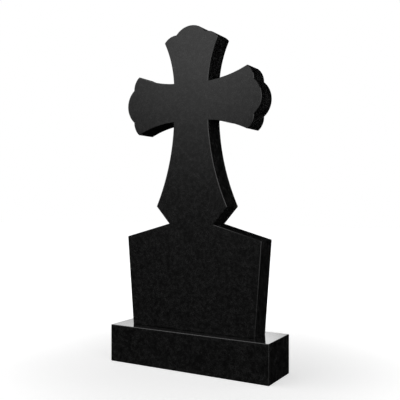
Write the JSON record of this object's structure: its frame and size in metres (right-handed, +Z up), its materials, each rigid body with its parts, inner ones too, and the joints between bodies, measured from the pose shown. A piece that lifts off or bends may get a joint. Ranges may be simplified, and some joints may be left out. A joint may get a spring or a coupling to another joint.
{
  "type": "cross headstone",
  "caption": "Flared cross with lobed ends rising from a shouldered tablet, sawn from a slab of polished black granite, upright on a plain rectangular plinth.",
  "frame": {"origin": "middle of the plinth's underside, on the ground", "axes": "+Z up, the front faces -Y, X along the width with +X to the right of someone facing the front"},
  "size_m": [0.7, 0.2, 1.35],
  "materials": {
    "stele_granite": "polished black granite",
    "plinth_granite": "polished black granite"
  },
  "bodies": {
    "root": {"cross_stele": "stele_granite", "plinth": "plinth_granite"}
  },
  "joints": []
}
